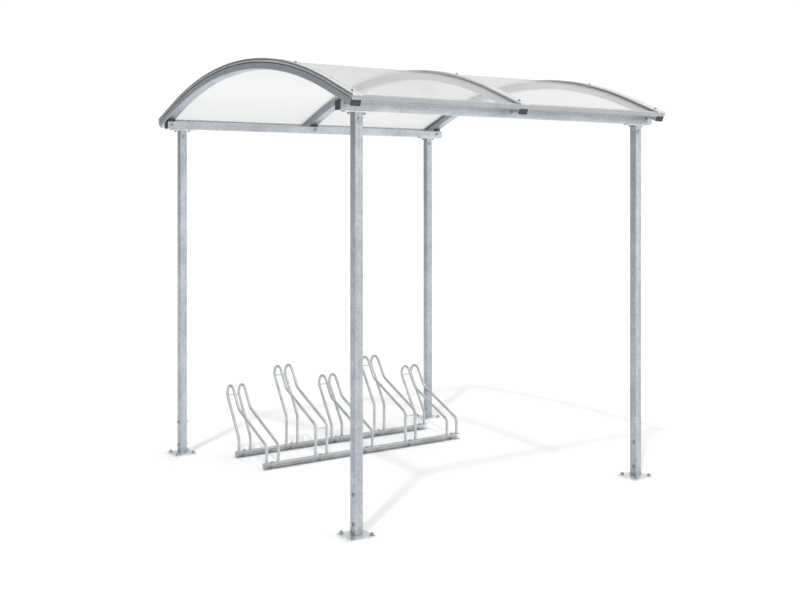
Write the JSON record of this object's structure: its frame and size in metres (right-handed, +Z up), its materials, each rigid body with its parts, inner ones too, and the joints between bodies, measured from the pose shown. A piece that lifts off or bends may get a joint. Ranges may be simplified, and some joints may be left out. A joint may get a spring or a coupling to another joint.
{
  "type": "bike shelter",
  "caption": "Open bike shelter: galvanised square posts and beams, bent ribs under a barrel roof of clear twin-wall sheet, and a floor rack of bent hoops for front wheels.",
  "frame": {"origin": "centre of the footprint, on the ground plane under the base plates", "axes": "+X along the beams to the right, +Y across the span towards the rack and the back, +Z up"},
  "size_m": [2.286, 2.4516, 2.549],
  "materials": {
    "galvanised_steel": "hot-dip galvanised, matt, with a faint mottle",
    "rack_steel": "hot-dip galvanised, dull grey",
    "aluminium": "mill finish, satin",
    "black_plastic": "moulded, matt",
    "rubber_seal": "matt sealing strip",
    "twin_wall_sheet": "clear twin-wall polycarbonate with fine flutes"
  },
  "bodies": {
    "root": {"foot_front_left": "galvanised_steel", "foot_front_right": "galvanised_steel", "foot_back_left": "galvanised_steel", "foot_back_right": "galvanised_steel", "post_front_left": "galvanised_steel", "post_front_right": "galvanised_steel", "post_back_left": "galvanised_steel", "post_back_right": "galvanised_steel", "head_front_left": "galvanised_steel", "head_front_right": "galvanised_steel", "head_back_left": "galvanised_steel", "head_back_right": "galvanised_steel", "beam_front": "galvanised_steel", "beam_back": "galvanised_steel", "beam_caps_front": "black_plastic", "beam_caps_back": "black_plastic", "rib_left": "galvanised_steel", "rib_middle": "galvanised_steel", "rib_right": "galvanised_steel", "rib_caps_front": "black_plastic", "rib_caps_back": "black_plastic", "rib_seats_front": "black_plastic", "rib_seats_back": "black_plastic", "seals_left": "rubber_seal", "seals_middle": "rubber_seal", "seals_right": "rubber_seal", "roof_sheet_left": "twin_wall_sheet", "roof_sheet_right": "twin_wall_sheet", "capping_left": "aluminium", "capping_middle": "aluminium", "capping_right": "aluminium", "eave_front": "aluminium", "eave_back": "aluminium", "rack_rail_front": "rack_steel", "rack_rail_back": "rack_steel", "rack_hoops_1": "rack_steel", "rack_hoops_2": "rack_steel", "rack_hoops_3": "rack_steel", "rack_hoops_4": "rack_steel", "rack_hoops_5": "rack_steel"}
  },
  "joints": []
}
